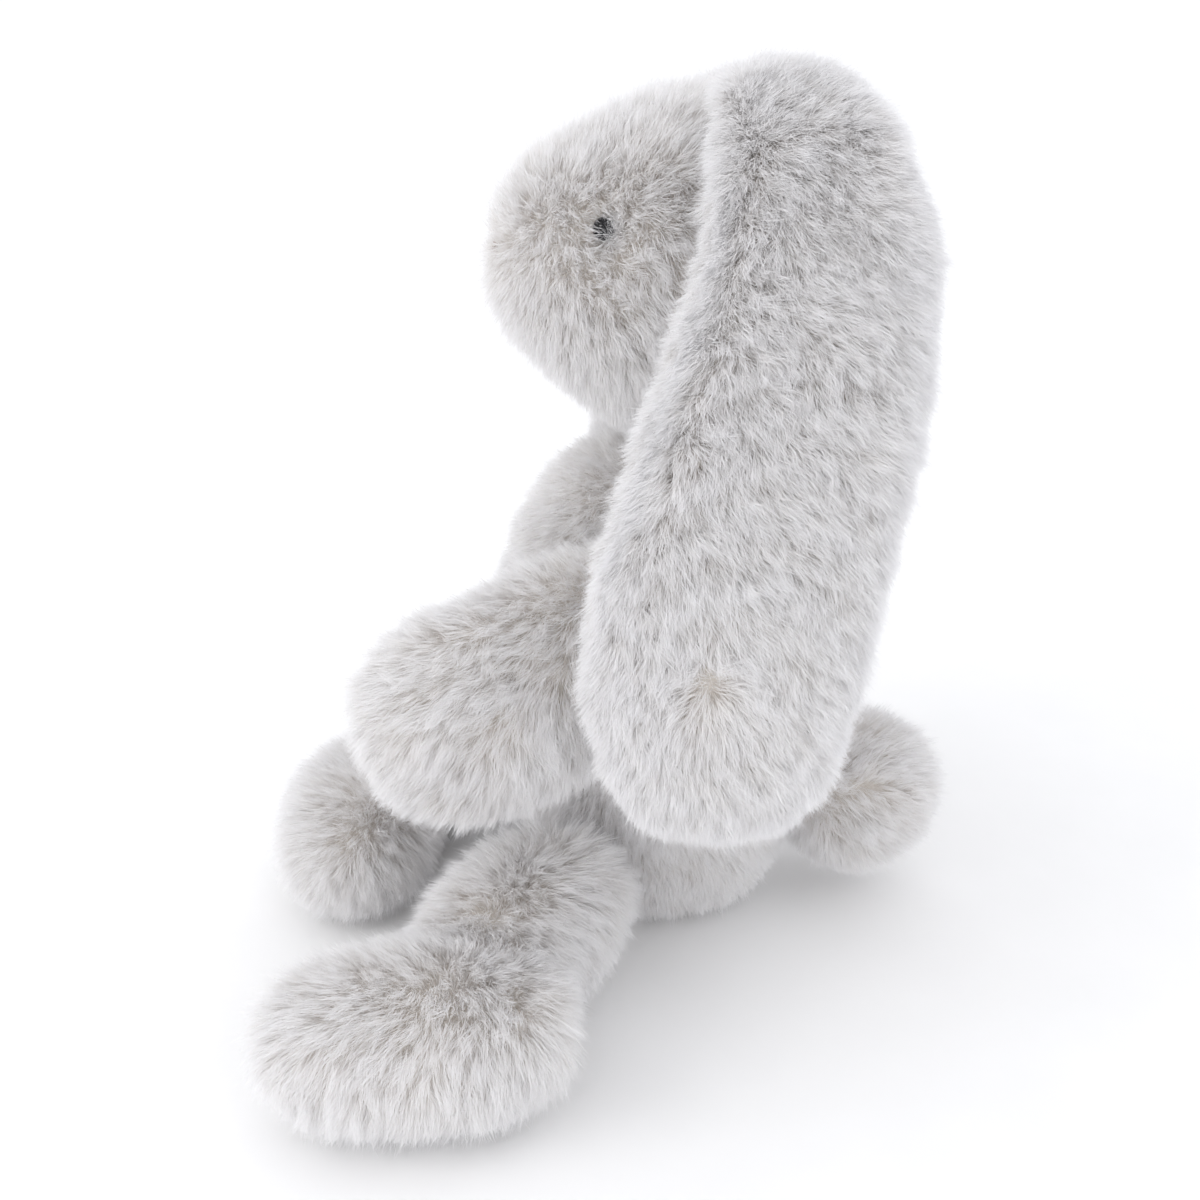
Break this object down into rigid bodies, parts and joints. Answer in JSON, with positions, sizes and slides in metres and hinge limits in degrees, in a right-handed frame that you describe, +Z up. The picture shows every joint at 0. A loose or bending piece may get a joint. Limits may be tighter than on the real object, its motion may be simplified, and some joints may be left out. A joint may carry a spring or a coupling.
{
  "type": "stuffed bunny rabbit",
  "caption": "Sitting long-pile plush rabbit with long drooping ears, soft stuffed limbs, round tail and small shiny eyes.",
  "frame": {"origin": "on the floor, on the flat underside of the seat", "axes": "+Z up, the rabbit faces -Y, its left side is +X"},
  "size_m": [0.255, 0.2397, 0.291],
  "materials": {
    "plush_fur": "long-pile faux fur, off-white tips over warm taupe roots",
    "fibre_filling": "soft polyester fibre",
    "pellet_linen": "plain woven bag",
    "nose_thread": "satin stitched thread",
    "eye_black": "polished",
    "washer_plastic": "moulded"
  },
  "bodies": {
    "torso": {"torso_skin": "plush_fur", "torso_filling": "fibre_filling", "seat_pellet_bag": "pellet_linen"},
    "head": {"head_skin": "plush_fur", "head_filling": "fibre_filling", "nose_embroidery": "nose_thread", "eye_left": "eye_black", "eye_right": "eye_black", "eye_washer_left": "washer_plastic", "eye_washer_right": "washer_plastic"},
    "ear_left": {"ear_left_outer": "plush_fur", "ear_left_lining": "plush_fur"},
    "ear_right": {"ear_right_outer": "plush_fur", "ear_right_lining": "plush_fur"},
    "arm_left": {"arm_left_skin": "plush_fur", "arm_left_filling": "fibre_filling"},
    "arm_right": {"arm_right_skin": "plush_fur", "arm_right_filling": "fibre_filling"},
    "leg_left": {"leg_left_skin": "plush_fur", "leg_left_filling": "fibre_filling"},
    "leg_right": {"leg_right_skin": "plush_fur", "leg_right_filling": "fibre_filling"},
    "foot_left": {"foot_left_skin": "plush_fur", "foot_left_filling": "fibre_filling"},
    "foot_right": {"foot_right_skin": "plush_fur", "foot_right_filling": "fibre_filling"},
    "tail": {"tail_skin": "plush_fur", "tail_filling": "fibre_filling"}
  },
  "joints": [
    {"name": "neck_nod", "type": "hinge", "parent": "torso", "child": "head", "pos_m": [0, -0.011, 0.175], "axis": [1, 0, 0], "range_deg": [-12, 14], "stiffness_Nm_per_rad": 1.2},
    {"name": "ear_left_lift", "type": "hinge", "parent": "head", "child": "ear_left", "pos_m": [0.023, 0.011, 0.286], "axis": [0, -1, 0], "range_deg": [0, 90]},
    {"name": "ear_right_lift", "type": "hinge", "parent": "head", "child": "ear_right", "pos_m": [-0.023, 0.013, 0.279], "axis": [0, 1, 0], "range_deg": [0, 90]},
    {"name": "arm_left_swing", "type": "hinge", "parent": "torso", "child": "arm_left", "pos_m": [0.0433, -0.034, 0.14], "axis": [-1, 0, 0], "range_deg": [-10, 55], "stiffness_Nm_per_rad": 0.3},
    {"name": "arm_right_swing", "type": "hinge", "parent": "torso", "child": "arm_right", "pos_m": [-0.0433, -0.034, 0.14], "axis": [-1, 0, 0], "range_deg": [-20, 14], "stiffness_Nm_per_rad": 0.3},
    {"name": "leg_left_swing", "type": "hinge", "parent": "torso", "child": "leg_left", "pos_m": [0.0433, -0.038, 0.025], "axis": [-1, 0, 0], "range_deg": [-80, 3], "stiffness_Nm_per_rad": 0.5},
    {"name": "leg_right_swing", "type": "hinge", "parent": "torso", "child": "leg_right", "pos_m": [-0.0433, -0.038, 0.025], "axis": [-1, 0, 0], "range_deg": [-80, 8], "stiffness_Nm_per_rad": 0.5},
    {"name": "foot_left_roll", "type": "hinge", "parent": "leg_left", "child": "foot_left", "pos_m": [0.099, -0.08, 0.027], "axis": [-0.8396, 0.5432, 0], "range_deg": [-12, 20], "stiffness_Nm_per_rad": 0.2},
    {"name": "foot_right_roll", "type": "hinge", "parent": "leg_right", "child": "foot_right", "pos_m": [-0.051, -0.108, 0.025], "axis": [0.7507, -0.6606, 0], "range_deg": [-20, 20], "stiffness_Nm_per_rad": 0.2},
    {"name": "tail_wag", "type": "hinge", "parent": "torso", "child": "tail", "pos_m": [0, 0.036, 0.0365], "axis": [1, 0, 0], "range_deg": [-8, 2.5], "stiffness_Nm_per_rad": 0.1}
  ]
}
